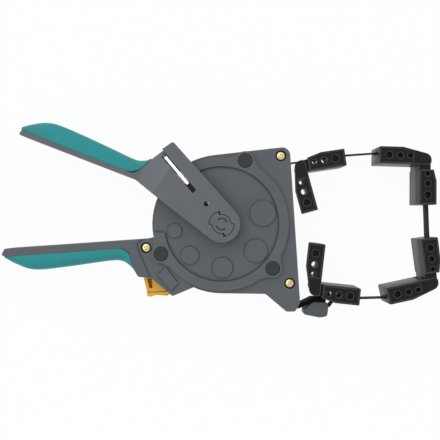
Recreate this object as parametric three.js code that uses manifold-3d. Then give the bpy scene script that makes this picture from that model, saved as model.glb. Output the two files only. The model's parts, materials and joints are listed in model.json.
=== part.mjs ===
// Ratchet band clamp: a squeeze lever winds a flat band onto a spool,
// and four hinged corner jaws ride on the band.
// Millimetres, +Z up. The clamp lies on its back face on Z = 0, with its hub axis on X = Y = 0.
import * as THREE from 'three';
import { mergeVertices } from 'three/addons/utils/BufferGeometryUtils.js';
import Module from 'manifold-3d';

const wasm = await Module();
wasm.setup();

// Fits
const clearance = 0.3;
const wall = 2.6;
const beyond = 300;

// Housing: a disc with a square right side, split in two shells at half its depth
const bodyRadius = 59.5;
const bodyDepth = 26;
const seam = 0.3;
const topRightCorner = [58.4, 66.5];
const bottomRightCorner = [67.3, -67.5];
const hookCornerOuter = [63.3, -75.2];
const hookCornerInner = [55.5, -75.2];
const bottomStep = [37.5, -60];
const footCorner = [-42.2, -62];
const shoulderLow = [-59.9, -46.8];
const shoulderHigh = [-72.8, -17.2];
const rootTop = [-64.5, -12.7];
const shellScrewPlaces = [[50.9, 58.5], [58.5, -51], [-64.8, -20.4]];
const shellBossRadius = 5.2;
const screwHeadRadius = 3.9;
const screwHeadHeight = 2.2;
const screwHeadSink = 0.4;
const screwShankRadius = 1.5;
const screwLength = 17;
const screwHeadRoom = 0.9;
const crossSlotWidth = 1;

// Spool cover: a raised ring with three lobes round a sunk disc
const coverRingOuter = 57.3;
const coverRingInner = 49.3;
const coverRingHeight = 2.4;
const coverDiscThickness = 2.5;
const coverDiscRise = 1.1;
const coverLobeRadius = 8;
const lobeFairing = [16, 7.5];
const ringGap = [135, -7.3];
const plugRadius = 6;
const plugProud = 0.5;
const plugThickness = 0.9;
const coverScrewHead = 0.7;
const plugCircle = coverRingOuter + 0.5;
const plugAngles = [69.6, 206.2, 319];
const coverBossRadius = 10;
const coverTab = [[-50, -7.6], [-55.4, -7, 1.5], [-58.6, -12.6, 2], [-58.6, -24], [-50, -24]];
const embossHeight = 0.9;
const footPad = [[-54.6, -43.8, 1], [-43.4, -57.5, 1], [-37.2, -50.9, 1], [-47.9, -37.1, 1]];
const embosses = [
  [35.2, 9.1, 10.9],
  [29.3, -22.9, 9.8],
  [0.7, -37.3, 8.6],
  [-27.1, -27, 7.5],
  [-40.1, -5.8, 6],
];

// Handles: the fixed one's tip and root from the hub, and the lever grip's length
const handleReach = 189.8;
const handleRoot = 79.5;
const leverGripLength = 104.3;
const handleBack = 2;
const handleFront = bodyDepth - handleBack;
const gripWall = 3.4;
const gripRound = 0.5;
const gripProud = 0.4;
const coreBack = 6;
const coreFront = bodyDepth - coreBack;

// Spool, axle and wheels
const axleRadius = 4.2;
const bushWall = 2.3;
const bushLength = 4;
const bushHolderWall = 2.5;
const floorUnderBush = 1;
const bandWidth = 12;
const bandThickness = 0.8;
const bandMiddle = bodyDepth / 2;
const bandRoom = 0.6;
const bandExitRoom = 3;
const rollOuter = 43.5;
const spoolCoreRadius = 14;
const spoolFlangeRadius = 48;
const spoolFlangeThickness = 2;
const ratchetTip = 50;
const ratchetDepth = 3.5;
const ratchetTeeth = 24;
const driveTip = 13.2;
const driveDepth = 2.6;
const driveTeeth = 12;
const driveWheelThickness = 3.6;
const driveWheelRoom = 0.8;

// Lever
const leverGap = 0.9;
const leverDepth = 8.9;
const leverSkin = 3.1;
const leverHubRadius = 15.5;
const leverBlockGap = 1.7;
const leverBaseThickness = 0.9;
const leverBaseRadius = 13.6;
const leverBaseReach = 57;
const leverBaseHalf = 6;
const leverRampRun = 20;
const leverCorner = [-40.7, 69.1];
const leverElbow = [-54.1, 21.1];
const leverRoot = [-74.7, 38.4];
const leverNeck = [-59.3, 56.2];
const facetStart = [-44.5, 45.7];
const facetEnd = [-57.3, 26.4];
const slotAngle = 130;
const slotWidth = 4.2;
const slotInner = 35.4;
const slotOuter = 77;
const pawlBarWidth = 2.5;
const pawlBarInner = 43.8;
const pawlBarOuter = 73.4;
const pawlNoseWidth = 4;
const peepRadius = 2.2;
const peepReach = 21.2;
const lockDiscRadius = 7.8;
const lockWingRadius = 10.4;
const lockThickness = 1.9;
const lockWings = [-72, 108];
const lockWingSpan = 70;
const lockGap = 0.55;
const lockGroove = [4.2, 5.3];
const lockGrooveDepth = 0.9;
const lockNotchDepth = 2.4;

// Holding pawl and trigger
const pawlPivot = [-53.5, -24.5];
const pawlThickness = 4;
const pawlBossRadius = 4;
const pawlNoseAngle = 222;
const crestGap = 0.35;
const pinRadius = 1.8;
const pinBossWall = 1.6;
const triggerPivot = [-60, -40.6];
const triggerWidth = 10.8;
const triggerBossRadius = 4;
const triggerRecessDepth = 5;
const lipGrooveWidth = 0.9;
const lipGrooveDepth = 1.1;
const triggerCoilRadius = 3.5;
const triggerCoilHeight = 2.1;

// Corner jaws: two hinged legs, each a channel open to the outside, with the band in the channel
const jawHeight = bodyDepth;
const jawPlate = 3;
const legLength = 38;
const legInner = -3.5;
const legOuter = 11.3;
const legWallThickness = 2.5;
const legEndPlate = 2.5;
const legShoulder = 17.5;
const heelLength = 7;
const heelOuter = 7;
const heelRounds = [3, 6];
const forkPlate = 1.8;
const knuckleRadius = 7.2;
const knuckleGap = 0.5;
const nearTongueStart = 5.7;
const freeLegLean = 4;
const barrelRadius = 4.2;
const forkRoom = 6.4;
const jawPinRadius = 1.7;
const bandOffset = 6.4;
const legHoles = [[11.2, 2.1], [19.8, 2.5]];
const legHoleSpread = 1.1;
const legTubeDepth = 14;
const legCup = [29.4, 3];
const legCupDepth = 4.6;
const legCupWall = 1.2;
const legHoleLine = 4;
const legRim = 1.5;
const legPanelDepth = 0.9;
const nearJaw = 69.3;
const jawSpan = 103.9;
const farJaw = nearJaw + jawSpan;
const jaws = {
  tl: { pin: [nearJaw, 47.9], onBand: 8.5, other: -74.5 },
  tr: { pin: [farJaw, 54.5], onBand: 178.4, other: -90.2 },
  br: { pin: [farJaw + 5.8, -50.3], onBand: 192.2, other: 97.3 },
  bl: { pin: [nearJaw + 12.2, -54.9], onBand: -6, other: 83.5 },
};

// Band end: a hook caught under a post in the open corner of the housing
const hookPost = [58.5, -66.3];
const hookPostRadius = 2.6;
const hookPostWall = 2;
const hookThickness = 3.6;
const hookHeight = 14;
const hookShelf = 5;
const guidePin = [47, 46.6];

// Heights that follow from the sizes above
const split = bodyDepth / 2;
const coverTop = bodyDepth + clearance + coverRingHeight;
const leverBottom = coverTop + leverGap;
const leverTop = leverBottom + leverDepth;
const leverBlockInner = bodyRadius + leverBlockGap;
const triggerBack = (bodyDepth - triggerWidth) / 2;
const triggerFront = triggerBack + triggerWidth;
const hookWindow = [hookShelf, bodyDepth - hookShelf];
const coverDiscBack = bodyDepth + coverDiscRise - coverDiscThickness;
const bandBack = bandMiddle - bandWidth / 2;
const bandFront = bandMiddle + bandWidth / 2;
const ratchetBack = floorUnderBush + bushLength - 0.5;
const ratchetFront = bandBack - clearance;
const flangeBack = bandFront + clearance;
const flangeFront = flangeBack + spoolFlangeThickness;
const gripBack = handleBack - gripProud;
const gripFront = handleFront + gripProud;
const leverBaseTop = leverBottom + leverBaseThickness;
const leverCeiling = leverTop - leverSkin;
const driveBack = leverBaseTop + clearance + 0.1;
const driveFront = driveBack + driveWheelThickness;

// Materials
const plastic = (color, roughness) => new THREE.MeshStandardMaterial({ color, roughness, metalness: 0 });
const metal = (color, roughness) => new THREE.MeshStandardMaterial({ color, roughness, metalness: 1 });
const grayPlastic = plastic(0x5c6065, 0.55);
const leverGray = plastic(0x6b6e74, 0.55);
const tealGrip = plastic(0x378d8d, 0.6);
const blackPlastic = plastic(0x2a2a2b, 0.6);
const darkPlug = plastic(0x41413e, 0.5);
const yellowPlastic = plastic(0xd9992c, 0.4);
const bandBlack = plastic(0x1c1c1d, 0.65);
const steel = metal(0xc9c9c6, 0.3);
const yellowZinc = metal(0xcdbb78, 0.35);
const brass = metal(0xb59a55, 0.4);

// Geometry helpers
const radians = THREE.MathUtils.degToRad;
const polar = (radius, degrees) =>
  [Math.cos(radians(degrees)), Math.sin(radians(degrees))].map((share) => radius * share);
const plus = (a, b) => [a[0] + b[0], a[1] + b[1]];
const ascending = (a, b) => a - b;

function toSolid(geometry) {
  geometry.deleteAttribute('normal');
  geometry.deleteAttribute('uv');
  const merged = mergeVertices(geometry, 1e-4);
  const index = merged.index.array;
  const triangles = [];
  for (let i = 0; i < index.length; i += 3) {
    const [a, b, c] = [index[i], index[i + 1], index[i + 2]];
    if (a !== b && b !== c && c !== a) triangles.push(a, b, c);
  }
  const vertProperties = new Float32Array(merged.attributes.position.array);
  const triVerts = new Uint32Array(triangles);
  return new wasm.Manifold(new wasm.Mesh({ numProp: 3, vertProperties, triVerts }));
}

function toGeometry(solid) {
  const mesh = solid.getMesh();
  const geometry = new THREE.BufferGeometry();
  geometry.setAttribute('position', new THREE.BufferAttribute(mesh.vertProperties, 3));
  geometry.setIndex(new THREE.BufferAttribute(mesh.triVerts, 1));
  return geometry;
}

const join = (first, ...rest) => rest.reduce((sum, next) => sum.add(next), first);
const cut = (first, ...rest) => rest.reduce((sum, next) => sum.subtract(next), first);

function arc([x, y], radius, from, to, step = 12) {
  const count = Math.max(2, Math.ceil(Math.abs(to - from) / step));
  const angles = Array.from({ length: count + 1 }, (_, i) => from + ((to - from) * i) / count);
  return angles.map((angle) => plus([x, y], polar(radius, angle)));
}

// A closed outline whose corners are [x, y, radius]; a missing radius leaves the corner sharp.
function outline(corners) {
  const points = [];
  corners.forEach(([x, y, radius], i) => {
    if (!radius) {
      points.push([x, y]);
      return;
    }
    const here = new THREE.Vector2(x, y);
    const next = corners[(i + 1) % corners.length];
    const before = new THREE.Vector2(...corners.at(i - 1).slice(0, 2)).sub(here).normalize();
    const after = new THREE.Vector2(...next.slice(0, 2)).sub(here).normalize();
    const half = Math.acos(THREE.MathUtils.clamp(before.dot(after), -1, 1)) / 2;
    const middle = before.clone().add(after).normalize();
    middle.multiplyScalar(radius / Math.sin(half)).add(here);
    const start = before.multiplyScalar(radius / Math.tan(half)).add(here).sub(middle);
    const end = after.multiplyScalar(radius / Math.tan(half)).add(here).sub(middle);
    const turn = Math.atan2(start.cross(end), start.dot(end));
    const steps = Math.max(2, Math.ceil(Math.abs(turn) / radians(18)));
    for (let k = 0; k <= steps; k += 1) {
      const spoke = start.clone().rotateAround(new THREE.Vector2(), (turn * k) / steps);
      points.push([middle.x + spoke.x, middle.y + spoke.y]);
    }
  });
  return points;
}

function spline(points, count) {
  const curve = new THREE.SplineCurve(points.map((p) => new THREE.Vector2(...p)));
  return curve.getSpacedPoints(count).map((p) => [p.x, p.y]);
}

// Moves a counterclockwise outline inwards by a distance, or outwards by a negative one.
function inset(points, distance) {
  return points.map((point, i) => {
    const here = new THREE.Vector2(...point);
    const into = here.clone().sub(new THREE.Vector2(...points.at(i - 1))).normalize();
    const outOf = new THREE.Vector2(...points[(i + 1) % points.length]).sub(here).normalize();
    const normal = new THREE.Vector2(-into.y - outOf.y, into.x + outOf.x);
    normal.multiplyScalar(distance / (1 + into.dot(outOf)));
    return [here.x + normal.x, here.y + normal.y];
  });
}

// An outline made solid between two heights; its outer edges may be rounded, and it may lean along Y.
function slab(points, back, front, round = 0, lean = 0) {
  const shape = new THREE.Shape(points.map((p) => new THREE.Vector2(...p)));
  const geometry = new THREE.ExtrudeGeometry(shape, {
    depth: front - back - 2 * round,
    bevelEnabled: round > 0,
    bevelThickness: round,
    bevelSize: round,
    bevelOffset: -round,
    bevelSegments: 2,
  });
  geometry.translate(0, 0, back + round - front);
  geometry.applyMatrix4(new THREE.Matrix4().makeShear(0, 0, 0, 0, 0, lean));
  return toSolid(geometry.translate(0, 0, front));
}

function rod([x, y], radius, back, front, sides = 24) {
  const geometry = new THREE.CylinderGeometry(radius, radius, front - back, sides).rotateX(Math.PI / 2);
  return toSolid(geometry.translate(x, y, (back + front) / 2));
}

function block([x0, x1], [y0, y1], [z0, z1]) {
  const geometry = new THREE.BoxGeometry(x1 - x0, y1 - y0, z1 - z0);
  return toSolid(geometry.translate((x0 + x1) / 2, (y0 + y1) / 2, (z0 + z1) / 2));
}

const turned = (solid, degrees) => solid.rotate([0, 0, degrees]);

// A strip standing on edge along a path of points, with its two sides half a thickness away.
function strip(path, thickness, back, front) {
  const side = (sign) =>
    path.map((point, i) => {
      const here = new THREE.Vector2(...point);
      const into = here.clone().sub(new THREE.Vector2(...(path[i - 1] ?? point)));
      const outOf = new THREE.Vector2(...(path[i + 1] ?? point)).sub(here);
      if (i === 0) into.copy(outOf);
      if (i === path.length - 1) outOf.copy(into);
      into.normalize();
      outOf.normalize();
      const normal = new THREE.Vector2(-into.y - outOf.y, into.x + outOf.x);
      normal.multiplyScalar((sign * thickness) / 2 / (1 + into.dot(outOf)));
      return [here.x + normal.x, here.y + normal.y];
    });
  return slab([...side(-1), ...side(1).reverse()], back, front);
}

const clamp = new THREE.Group();

function add(name, solid, material, parent = clamp) {
  const mesh = new THREE.Mesh(toGeometry(solid), material);
  mesh.name = name;
  parent.add(mesh);
}

// Housing outline, counterclockwise from the bottom
const bodyCorners = [
  ...arc([0, 0], bodyRadius, 246, 270, 6),
  [...bottomStep, 3],
  [...hookCornerInner, 2.5],
  [...hookCornerOuter, 3],
  [...bottomRightCorner, 3],
  [...topRightCorner, 7],
  ...arc([0, 0], bodyRadius, 96, 191, 6),
  [...rootTop, 2],
  [...shoulderHigh, 3],
  [...shoulderLow, 3],
  [...footCorner, 2.5],
];
const bodyOutline = outline(bodyCorners);
const cavityOutline = inset(bodyCorners.map(([x, y]) => [x, y]), wall);

// Fixed handle: a gray spine along the top, and a core inside the grip
const onHandle = (share) => -handleRoot - share * (handleReach - handleRoot);
const gripTip = [onHandle(0.972), -28.2];
const gripBend = [-80.6, -20.8];
const gripFoot = [-75.8, -39];
const spineOutline = outline([
  [onHandle(0.975), -21.3, 2.5],
  [onHandle(1), -26.6, 1],
  gripTip,
  [...gripBend, 8],
  gripFoot,
  [-72, -45.6, 3],
  shoulderLow,
  plus(shoulderHigh, [1, 0.4]),
  plus(rootTop, [0.5, -0.2]),
]);
const fixedBelly = [
  [onHandle(0.985), -28.6],
  [onHandle(0.882), -36.2],
  [onHandle(0.748), -40.3],
  [onHandle(0.503), -37.7],
  [onHandle(0.163), -32.5],
  [onHandle(0.06), -32.8],
  [onHandle(0), -36],
];
const fixedGripOutline = outline([...spline(fixedBelly, 22), gripFoot, [...gripBend, 8], gripTip]);
const fixedCoreOutline = outline([
  ...spline(fixedBelly.slice(1).map(([x, y]) => [x, y + gripWall]), 12),
  plus(gripBend, [0.6, 2]),
  plus(gripTip, [6, 2]),
]);

// Trigger: a blade below the housing's edge, and an arm inside that moves the holding pawl
const triggerBlade = outline([
  [-66, -41],
  [-67.6, -48],
  [-65.2, -58.5],
  [-64.8, -63.2, 1],
  [-61.4, -63.4, 1.5],
  [-57.5, -61.9, 3],
  [-46.4, -62.6, 1],
  [-46, -60, 1],
  [-50, -55, 3],
  [-54, -48],
  [-57, -40],
]);
const triggerRecess = [[-64.8, -47.6], [-62.9, -55.8, 0.6], [-60, -56, 0.6], [-60.6, -47.6]];
const lipGroove = [[-68, -59.4], [-58, -59.2], [-45, -58.4]];
const triggerArm = outline([[-64, -42], [-60.5, -44.6], [-50.6, -33.8, 1], [-52.6, -31.9, 1]]);
const triggerPocket = outline([[-70, -37], [-70, -72], [-40, -72], [-39, -58], [-50, -36]]);
const pawlTail = outline([[-56, -25], [-55.9, -32, 0.8], [-53.7, -32, 0.8], [-51.5, -25]]);

// Band route: from the roll, through the jaws, to the hook
const across = (degrees, side) => polar(bandOffset, degrees + 90 * side);
const onLeg = (jaw, degrees, side, reach) =>
  plus(plus(jaw.pin, polar(reach, degrees)), across(degrees, side));
const bandLead = polar(rollOuter + clearance + bandThickness / 2, 98.2);
const exitPoint = onLeg(jaws.tl, jaws.tl.onBand, 1, 0);
const bendGap = (clearance / bandOffset) * (180 / Math.PI);
const feedRoute = [
  bandLead,
  exitPoint,
  onLeg(jaws.tl, jaws.tl.onBand, 1, legLength),
  onLeg(jaws.tr, jaws.tr.onBand, -1, legLength),
  onLeg(jaws.tr, jaws.tr.onBand, -1, 0),
];
const rightRoute = [
  onLeg(jaws.tr, jaws.tr.other, 1, 0),
  onLeg(jaws.tr, jaws.tr.other, 1, legLength),
  onLeg(jaws.br, jaws.br.other, -1, legLength),
  onLeg(jaws.br, jaws.br.other, -1, 0),
];
const tabTop = -68;
const tabOutline = outline([
  [71.5, -78.5, 1],
  [84.9, -81.2, 4],
  [91.6, -80.2, 3],
  [93, tabTop, 3],
  [79.5, tabTop, 4],
  [71.5, -74.6, 1],
]);
const bottomRoute = [
  onLeg(jaws.br, jaws.br.onBand, 1, 0),
  onLeg(jaws.br, jaws.br.onBand, 1, legLength),
  onLeg(jaws.bl, jaws.bl.onBand, -1, legLength),
  onLeg(jaws.bl, jaws.bl.onBand, -1, 24),
  onLeg(jaws.bl, jaws.bl.onBand, -1, 20),
  [93.4, -72.4],
];

// Cuts that both shells share
function shellCuts() {
  const windowWidth = bandThickness + bandExitRoom;
  const bandWindow = strip([[45, 50.9], exitPoint], windowWidth, bandBack - bandRoom, bandFront + bandRoom);
  const hookCut = block([50, 80], [-82, -61.6], hookWindow);
  const bladeCut = slab(triggerPocket, triggerBack - clearance, triggerFront + clearance);
  return [bandWindow, hookCut, bladeCut];
}

function pinHoles(back, front) {
  return [
    rod(hookPost, hookPostRadius + clearance, back, front, 16),
    rod(guidePin, pinRadius + clearance, back, front, 16),
    rod(triggerPivot, pinRadius + clearance, back, front, 16),
  ];
}

// Shells
const plugPlaces = plugAngles.map((angle) => polar(plugCircle, angle));
const pinBack = 1.2;
const pinFront = bodyDepth - pinBack;
const coilBack = triggerFront + clearance;
const coilFront = coilBack + triggerCoilHeight;
const seamBack = split - seam / 2;
const seamFront = split + seam / 2;

function rearShell() {
  const shell = join(
    cut(slab(bodyOutline, 0, seamBack), slab(cavityOutline, wall, bodyDepth)),
    slab(spineOutline, handleBack, seamBack),
    slab(fixedCoreOutline, coreBack, seamBack),
    ...shellScrewPlaces.map((place) => rod(place, shellBossRadius, wall / 2, seamBack)),
    rod([0, 0], axleRadius + bushWall + bushHolderWall, wall / 2, ratchetBack - clearance),
    rod(pawlPivot, pawlBossRadius, wall / 2, wall + 0.3),
    rod(hookPost, hookPostRadius + hookPostWall, wall / 2, hookWindow[0]),
    rod(guidePin, pinRadius + pinBossWall, wall / 2, bandBack - 1),
  );
  return cut(
    shell,
    ...shellCuts(),
    slab(triggerPocket, wall, triggerFront),
    ...shellScrewPlaces.map((place) => rod(place, screwShankRadius + clearance, 4, bodyDepth, 12)),
    rod([0, 0], axleRadius + bushWall + clearance, floorUnderBush, bodyDepth),
    rod(pawlPivot, pinRadius + clearance, floorUnderBush, bodyDepth, 16),
    ...pinHoles(pinBack - clearance, bodyDepth),
  );
}

function frontShell() {
  const plateBack = bodyDepth - wall;
  const shell = join(
    cut(slab(bodyOutline, seamFront, bodyDepth), slab(cavityOutline, 0, plateBack)),
    slab(spineOutline, seamFront, handleFront),
    slab(fixedCoreOutline, seamFront, coreFront),
    ...shellScrewPlaces.map((place) => rod(place, shellBossRadius, seamFront, bodyDepth - wall / 2)),
    ...plugPlaces.map((place) => rod(place, 4, bandFront + 1, bodyDepth - wall / 2)),
    rod(hookPost, hookPostRadius + hookPostWall, hookWindow[1], bodyDepth - wall / 2),
    slab(outline(footPad), bodyDepth - wall / 2, bodyDepth + embossHeight),
    rod(guidePin, pinRadius + pinBossWall, bandFront + 1, bodyDepth - wall / 2),
  );
  const headSeat = bodyDepth - screwHeadSink - screwHeadHeight - clearance;
  const headWell = screwHeadRadius + screwHeadRoom;
  return cut(
    shell,
    ...shellCuts(),
    rod([0, 0], coverRingInner + 1, split, bodyDepth + 1, 60),
    ...shellScrewPlaces.map((place) => rod(place, screwShankRadius + clearance, 0, bodyDepth, 12)),
    ...shellScrewPlaces.map((place) => rod(place, headWell, headSeat, bodyDepth + 1, 20)),
    ...plugPlaces.map((place) => rod(place, screwShankRadius + clearance, bandFront + 2, bodyDepth + 1, 12)),
    ...pinHoles(0, pinFront + clearance),
    rod(triggerPivot, triggerCoilRadius + clearance, triggerFront, coilFront + clearance),
  );
}

// Spool cover, its screws and plugs
const plugBack = coverTop + plugProud - plugThickness;
const plugSeat = plugBack - coverScrewHead - 2 * clearance;

function spoolCover() {
  const discFront = bodyDepth + coverDiscRise;
  const [gapStart, gapEnd] = ringGap;
  const gap = [
    polar(coverRingInner - 8, gapStart),
    polar(coverRingOuter + 8, gapStart),
    polar(coverRingOuter + 20, (gapStart + 180) / 2),
    [-coverRingOuter - 8, gapEnd],
    [8 - coverRingInner, gapEnd],
  ];
  const ring = cut(
    rod([0, 0], coverRingOuter, bodyDepth + clearance, coverTop, 60),
    rod([0, 0], coverRingInner, bodyDepth, coverTop + 1, 60),
    slab(gap, discFront, coverTop + 1),
  );
  const disc = rod([0, 0], coverRingInner + 0.5, coverDiscBack, discFront, 60);
  const lobes = plugPlaces.map((place) =>
    rod(place, coverLobeRadius, bodyDepth + clearance, coverTop, 28),
  );
  const [foot, head] = lobeFairing;
  const fairings = plugAngles.map((angle) => {
    const sides = [
      polar(coverRingOuter - 1, angle - foot),
      polar(plugCircle + 3, angle - head),
      polar(plugCircle + 3, angle + head),
      polar(coverRingOuter - 1, angle + foot),
    ];
    return slab(sides, bodyDepth + clearance, coverTop);
  });
  const discs = embosses.map(([x, y, radius]) =>
    rod([x, y], radius, coverDiscBack, discFront + embossHeight, 28),
  );
  const boss = rod([0, 0], coverBossRadius, coverDiscBack, coverTop - 0.2);
  const tab = slab(outline(coverTab), bodyDepth + clearance, coverTop);
  return cut(
    join(ring, disc, boss, tab, ...lobes, ...fairings, ...discs),
    rod([0, 0], axleRadius + bushWall + clearance, 0, coverTop + 1),
    ...plugPlaces.map((place) => rod(place, plugRadius + clearance, plugSeat, coverTop + 1, 24)),
    ...plugPlaces.map((place) => rod(place, screwShankRadius + clearance, 0, coverTop, 12)),
  );
}

// A screw with a cross recess in its head
function screw(place, headRadius, headBack, headHeight, tip) {
  const headFront = headBack + headHeight;
  const head = rod(place, headRadius, headBack, headFront, 20);
  const shank = rod(place, screwShankRadius, tip, headBack + headHeight / 2, 12);
  const arm = headRadius * 0.55;
  const slotBack = headBack + headHeight / 2;
  const slotHalf = crossSlotWidth / 2;
  const bar = block([-arm, arm], [-slotHalf, slotHalf], [slotBack, headFront + 1]);
  const cross = [20, 110].map((degrees) => turned(bar, degrees).translate([...place, 0]));
  return cut(join(head, shank), ...cross);
}

// Lever
const facetAngle = Math.atan2(facetEnd[1] - facetStart[1], facetEnd[0] - facetStart[0]) * (180 / Math.PI);
const leverBend = [-75.2, 43];
const leverRise = 158.6;
const onLever = (share, rise) =>
  plus(plus(leverBend, polar(share * leverGripLength, leverRise)), polar(rise, leverRise - 90));
const leverTip = onLever(1, 0);
// The direction from the hub's centre in which a line from a point touches the hub
const touchAngle = ([x, y], side) => {
  const opening = Math.acos(leverHubRadius / Math.hypot(x, y));
  return THREE.MathUtils.radToDeg(Math.atan2(y, x) + side * opening);
};
const leverOutline = outline([
  leverRoot,
  ...arc([0, 0], leverHubRadius, touchAngle(leverElbow, 1), touchAngle(leverCorner, -1) + 360, 9),
  [...leverCorner, 2],
  leverNeck,
  [...leverBend, 8],
  [...leverTip, 1],
  [...onLever(1.01, -4.6), 1.5],
]);
const leverGripEnd = [-60.4, 55.2];
const leverCrown = [
  plus(leverGripEnd, [-0.4, 1.7]),
  plus(leverGripEnd, [-5.4, 0.1]),
  onLever(0.051, 12.7),
  onLever(0.268, 14.1),
  onLever(0.529, 15.8),
  onLever(0.742, 16.4),
  onLever(0.85, 14.4),
  onLever(0.948, 9),
  onLever(1.011, 3),
];
const leverGripOutline = outline([leverTip, [...leverBend, 8], leverGripEnd, ...spline(leverCrown, 26)]);
const leverCoreOutline = outline([
  plus(leverTip, [8, -4.6]),
  plus(leverBend, [0, -1.5]),
  ...spline(leverCrown.slice(2, -2).map(([x, y]) => [x - 1, y - gripWall - 0.6]), 12),
]);
const baseOutline = (margin) => [
  ...arc([0, 0], leverBaseRadius + margin, 25, 335, 18),
  [leverBaseReach + margin, -leverBaseHalf - margin],
  [leverBaseReach + margin, leverBaseHalf + margin],
];
const along = (solid) => turned(solid, slotAngle);

function leverBody() {
  const whole = join(
    slab(leverOutline, handleBack, leverTop),
    slab(leverCoreOutline, coreBack, coreFront),
  );
  const drop = leverTop - handleFront;
  const channelHalf = pawlNoseWidth / 2 + clearance;
  const overRamp = new THREE.Shape();
  overRamp.moveTo(0, leverTop);
  overRamp.lineTo(leverRampRun, handleFront);
  overRamp.lineTo(beyond, handleFront);
  overRamp.lineTo(beyond, leverTop + drop);
  overRamp.lineTo(0, leverTop + drop);
  const wedge = new THREE.ExtrudeGeometry(overRamp, { depth: 2 * beyond, bevelEnabled: false });
  wedge.rotateX(Math.PI / 2).translate(0, beyond, 0);
  const besideSlot = along(block([0, beyond], [-beyond, -slotWidth / 2], [0, beyond]));
  const ramp = turned(toSolid(wedge), facetAngle - 90).translate([...facetStart, 0]).subtract(besideSlot);
  return cut(
    whole,
    ramp,
    rod([0, 0], leverBlockInner, 0, leverBottom, 72),
    along(slab(baseOutline(clearance), 0, leverBaseTop + clearance)),
    rod([0, 0], driveTip + driveWheelRoom, leverBottom, leverCeiling, 32),
    along(block([0, slotOuter], [-channelHalf, channelHalf], [leverBottom, leverCeiling])),
    along(block([slotInner, slotOuter], [-slotWidth / 2, slotWidth / 2], [leverBottom, leverTop + 1])),
    along(rod([peepReach, -1], peepRadius, leverBottom, leverTop + 1, 14)),
    slab(lockOutline(lockGap), leverTop - lockThickness - clearance, leverTop + 1),
    ...lockWings.map((from) =>
      slab(arcBand(notchRing, from - 11, from), leverTop - lockNotchDepth, leverTop + 1),
    ),
  );
}

// Twist lock in the hub: a disc with two opposite wings
function lockOutline(margin) {
  const slack = (margin / lockWingRadius) * (180 / Math.PI);
  return lockWings.flatMap((from) => [
    ...arc([0, 0], lockWingRadius + margin, from - slack, from + lockWingSpan + slack, 14),
    ...arc([0, 0], lockDiscRadius + margin, from + lockWingSpan + slack + 4, from + 180 - slack - 4, 18),
  ]);
}

const arcBand = ([inner, outer], from, to) => [
  ...arc([0, 0], outer, from, to, 10),
  ...arc([0, 0], inner, to, from, 10),
];
const notchRing = [lockDiscRadius + lockGap, lockWingRadius + lockGap];

function hubLock() {
  const grooves = lockWings.map((from) =>
    slab(arcBand(lockGroove, from + 90, from + 200), leverTop - lockGrooveDepth, leverTop + 1),
  );
  return cut(slab(lockOutline(0), leverTop - lockThickness, leverTop), ...grooves);
}

function drivePawl() {
  const root = driveTip - driveDepth;
  const half = pawlNoseWidth / 2;
  const nose = outline([
    [root + 0.5, 0.7],
    [root + 1.45, -1.3],
    [driveTip + 1, -half],
    [pawlBarInner + 2.4, -half],
    [pawlBarInner + 2.4, half],
    [driveTip + 1, half],
    [driveTip + 0.5, 0.7],
  ]);
  const bar = block(
    [pawlBarInner, pawlBarOuter],
    [-pawlBarWidth / 2, pawlBarWidth / 2],
    [driveFront - 1.4, leverTop - 0.9],
  );
  return along(join(slab(nose, driveBack, driveFront), bar));
}

// A sawtooth wheel: each tooth rises at once and falls away counterclockwise.
function toothedOutline(tip, depth, teeth, firstFace) {
  const pitch = 360 / teeth;
  return Array.from({ length: teeth }, (_, i) => firstFace + i * pitch).flatMap((face) => [
    polar(tip - depth, face - 0.02),
    polar(tip, face),
    polar(tip - depth / 3, face + pitch / 3),
    polar(tip - (2 * depth) / 3, face + (2 * pitch) / 3),
  ]);
}

const hexagon = (radius) => arc([0, 0], radius, 0, 300, 60);
const hexBore = (back, front) => slab(hexagon(axleRadius + clearance), back, front);

function spoolAxle() {
  const journalTop = coverTop + 1.5;
  const top = driveFront + 0.5;
  return join(
    rod([0, 0], axleRadius, floorUnderBush + clearance, ratchetBack),
    slab(hexagon(axleRadius), ratchetBack - 0.5, coverDiscBack),
    rod([0, 0], axleRadius, coverDiscBack - 0.5, journalTop),
    slab(hexagon(axleRadius), journalTop - 0.5, top),
  );
}

// Corner jaws: a leg widens from its heel to its shoulder and then runs straight.
const legWidthAt = (reach) => heelOuter + ((legOuter - heelOuter) * reach) / legShoulder;
const onSide = (corners, side) => {
  const placed = corners.map(([x, y, radius]) => [x, y * side, radius]);
  return outline(side > 0 ? placed : placed.reverse());
};

function legOutline(start, margin, side, startRounds = [0, 0]) {
  const corners = [
    [start, legInner + margin, startRounds[0]],
    [legLength - margin, legInner + margin, 1],
    [legLength - margin, legOuter - margin, 1],
    [legShoulder, legOuter - margin, 2],
    [start, legWidthAt(start) - margin, startRounds[1]],
  ];
  return onSide(corners, side);
}

const holeSpot = (reach, side) => [reach, legHoleLine * side];

// Three kinds of hole: a blind cup, a hole in a tube, and one through both plates that is wider at the back
function blindHole([reach, radius], side) {
  const floor = jawHeight - legCupDepth;
  return {
    wall: rod(holeSpot(reach, side), radius + legCupWall, floor - legCupWall, jawHeight - jawPlate / 2, 16),
    bore: rod(holeSpot(reach, side), radius, floor, jawHeight + 1, 16),
  };
}

function tubeHole([reach, radius], side) {
  const end = jawHeight - legTubeDepth;
  return {
    wall: rod(holeSpot(reach, side), radius + legCupWall, end, jawHeight - jawPlate / 2, 16),
    bore: rod(holeSpot(reach, side), radius, end - 1, jawHeight + 1, 16),
  };
}

function throughHole([reach, radius], side) {
  const wide = rod(holeSpot(reach, side), radius + legHoleSpread, -1, jawHeight - jawPlate, 16);
  const narrow = rod(holeSpot(reach, side), radius, -1, jawHeight + 1, 16);
  return { wall: null, bore: join(wide, narrow) };
}

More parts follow.
